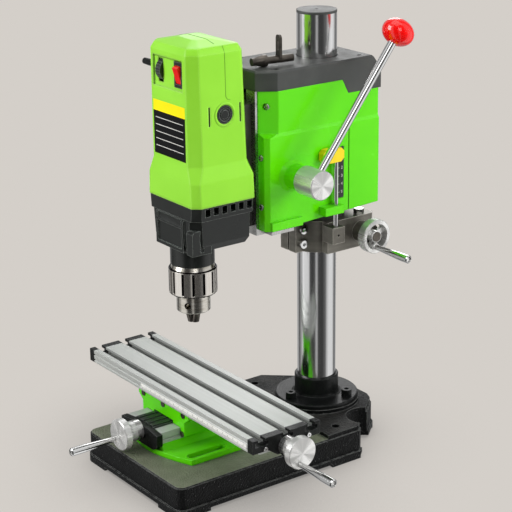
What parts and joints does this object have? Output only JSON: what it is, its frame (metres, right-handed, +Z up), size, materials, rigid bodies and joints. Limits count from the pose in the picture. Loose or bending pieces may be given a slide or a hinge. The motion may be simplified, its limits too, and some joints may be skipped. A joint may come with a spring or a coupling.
{
  "type": "benchtop drill press",
  "caption": "Benchtop drill press with a compound cross table, round column, rack and pinion feed, keyed chuck and upright drive unit.",
  "frame": {"origin": "on the column axis at the bench plane, under the feet of the base", "axes": "+Z up along the column, -Y to the front where the table and the spindle are, +X to the operator's right where the feed lever and handwheels are"},
  "size_m": [0.4389, 0.4081, 0.538],
  "materials": {
    "black_casting": "textured black paint",
    "gloss_black": "gloss black paint",
    "chrome_steel": "polished",
    "turned_steel": "turned and lightly polished",
    "dark_steel": "oiled",
    "grey_iron": "rough dark grey paint",
    "green_paint": "gloss green paint",
    "green_shell": "satin lime moulding",
    "charcoal_plastic": "fine texture",
    "black_plastic": "satin black moulding",
    "rubber": "matt black rubber",
    "pale_alloy": "satin anodised",
    "brass": "turned",
    "copper_windings": "varnished winding",
    "red_plastic": "gloss red",
    "yellow_plastic": "satin yellow"
  },
  "bodies": {
    "base": {"base_casting": "black_casting", "column_flange": "gloss_black", "flange_bolts": "gloss_black", "column": "chrome_steel", "column_cap": "dark_steel", "column_rack": "dark_steel", "compound_base": "green_paint", "cross_rail": "pale_alloy", "cross_end_plates": "gloss_black", "cross_way_cover": "rubber"},
    "saddle": {"saddle": "green_paint", "gib_screws": "gloss_black", "leadscrew_nuts": "brass"},
    "table": {"table": "pale_alloy", "table_end_caps": "black_plastic"},
    "table_screw": {"table_leadscrew": "dark_steel", "table_handwheel": "turned_steel"},
    "table_crank": {"table_crank_handle": "chrome_steel"},
    "cross_screw": {"cross_leadscrew": "dark_steel", "cross_handwheel": "turned_steel"},
    "cross_crank": {"cross_crank_handle": "chrome_steel"},
    "head": {"column_bracket": "grey_iron", "bracket_screws": "dark_steel", "head_casting": "grey_iron", "slideway": "pale_alloy", "right_cover": "green_paint", "left_cover": "green_paint", "cover_screws": "turned_steel", "head_cap": "charcoal_plastic", "depth_block": "turned_steel", "return_spring": "dark_steel"},
    "lift": {"lift_wheel": "turned_steel", "lift_shaft": "dark_steel"},
    "lift_crank": {"lift_crank_handle": "chrome_steel"},
    "motor": {"motor_carriage": "gloss_black", "feed_rack": "dark_steel", "depth_arm": "dark_steel", "motor_shell": "green_shell", "gearbox_housing": "black_plastic", "stator": "copper_windings", "brush_caps": "black_plastic", "cord_gland": "rubber", "depth_pointer": "yellow_plastic", "depth_rod": "chrome_steel", "switch_body": "black_plastic", "bearings": "turned_steel"},
    "feed": {"feed_hub": "turned_steel", "feed_shaft": "dark_steel", "feed_lever": "chrome_steel", "lever_knob": "red_plastic"},
    "spindle": {"spindle": "dark_steel", "chuck_body": "chrome_steel"},
    "sleeve": {"chuck_sleeve": "chrome_steel"},
    "jaw_1": {"chuck_jaw_1": "turned_steel"},
    "jaw_2": {"chuck_jaw_2": "turned_steel"},
    "jaw_3": {"chuck_jaw_3": "turned_steel"},
    "armature": {"armature": "dark_steel"},
    "rocker": {"switch_rocker": "red_plastic"},
    "dial": {"speed_dial": "black_plastic"},
    "key": {"chuck_key": "chrome_steel"}
  },
  "joints": [
    {"name": "saddle_slide", "type": "slide", "parent": "base", "child": "saddle", "axis": [0, 1, 0], "range_m": [-0.024, 0.024]},
    {"name": "table_slide", "type": "slide", "parent": "saddle", "child": "table", "axis": [1, 0, 0], "range_m": [-0.095, 0.073]},
    {"name": "table_screw_turn", "type": "hinge", "parent": "table", "child": "table_screw", "pos_m": [0.164, -0.1724, 0.0877], "axis": [1, 0, 0], "range_deg": [-17150, 13200]},
    {"name": "table_handle_spin", "type": "hinge", "parent": "table_screw", "child": "table_crank", "pos_m": [0.193, -0.17626, 0.07581], "axis": [1, 0, 0], "continuous": true},
    {"name": "cross_screw_turn", "type": "hinge", "parent": "base", "child": "cross_screw", "pos_m": [-0.023, -0.2514, 0.061], "axis": [0, 1, 0], "range_deg": [-4350, 4350]},
    {"name": "cross_handle_spin", "type": "hinge", "parent": "cross_screw", "child": "cross_crank", "pos_m": [-0.03229, -0.281, 0.05264], "axis": [0, -1, 0], "continuous": true},
    {"name": "head_lift", "type": "slide", "parent": "base", "child": "head", "axis": [0, 0, 1], "range_m": [-0.08, 0.05]},
    {"name": "lift_wheel_turn", "type": "hinge", "parent": "head", "child": "lift", "pos_m": [0.061, 0.03486, 0.26825], "axis": [1, 0, 0], "range_deg": [-515, 325]},
    {"name": "lift_handle_spin", "type": "hinge", "parent": "lift", "child": "lift_crank", "pos_m": [0.074, 0.03312, 0.25587], "axis": [1, 0, 0], "continuous": true},
    {"name": "motor_slide", "type": "slide", "parent": "head", "child": "motor", "axis": [0, 0, -1], "range_m": [0, 0.052], "stiffness_N_per_m": 300, "springref_m": -0.2},
    {"name": "feed_turn", "type": "hinge", "parent": "head", "child": "feed", "pos_m": [0, -0.074, 0.359], "axis": [1, 0, 0], "range_deg": [0, 133]},
    {"name": "spindle_turn", "type": "hinge", "parent": "motor", "child": "spindle", "pos_m": [0, -0.184, 0.3], "axis": [0, 0, 1], "continuous": true},
    {"name": "armature_turn", "type": "hinge", "parent": "motor", "child": "armature", "pos_m": [0, -0.166, 0.38], "axis": [0, 0, 1], "continuous": true},
    {"name": "sleeve_turn", "type": "hinge", "parent": "spindle", "child": "sleeve", "pos_m": [0, -0.184, 0.24], "axis": [0, 0, 1], "range_deg": [0, 2390]},
    {"name": "jaw_1_slide", "type": "slide", "parent": "spindle", "child": "jaw_1", "axis": [-0.0936, -0.2045, 0.9744], "range_m": [0, 0.02]},
    {"name": "jaw_2_slide", "type": "slide", "parent": "spindle", "child": "jaw_2", "axis": [0.224, 0.0212, 0.9744], "range_m": [0, 0.02]},
    {"name": "jaw_3_slide", "type": "slide", "parent": "spindle", "child": "jaw_3", "axis": [-0.1303, 0.1834, 0.9744], "range_m": [0, 0.02]},
    {"name": "switch_rock", "type": "hinge", "parent": "motor", "child": "rocker", "pos_m": [0.019, -0.2075, 0.4915], "axis": [-1, 0, 0], "range_deg": [0, 33]},
    {"name": "dial_turn", "type": "hinge", "parent": "motor", "child": "dial", "pos_m": [-0.017, -0.2005, 0.4915], "axis": [1, 0, 0], "range_deg": [0, 270]},
    {"name": "key_lift_off", "type": "slide", "parent": "head", "child": "key", "axis": [0, 0, 1], "range_m": [0, 0.05]}
  ],
  "couplings": [
    {"joint": "cross_screw_turn", "follows": "saddle_slide", "rad_per_m": 3141.6},
    {"joint": "table_screw_turn", "follows": "table_slide", "rad_per_m": 3141.6},
    {"joint": "lift_wheel_turn", "follows": "head_lift", "rad_per_m": 111.11},
    {"joint": "feed_turn", "follows": "motor_slide", "rad_per_m": 44.444},
    {"joint": "armature_turn", "follows": "spindle_turn", "ratio": -3.5},
    {"joint": "jaw_1_slide", "follows": "sleeve_turn", "m_per_rad": 0.00047746},
    {"joint": "jaw_2_slide", "follows": "sleeve_turn", "m_per_rad": 0.00047746},
    {"joint": "jaw_3_slide", "follows": "sleeve_turn", "m_per_rad": 0.00047746}
  ]
}
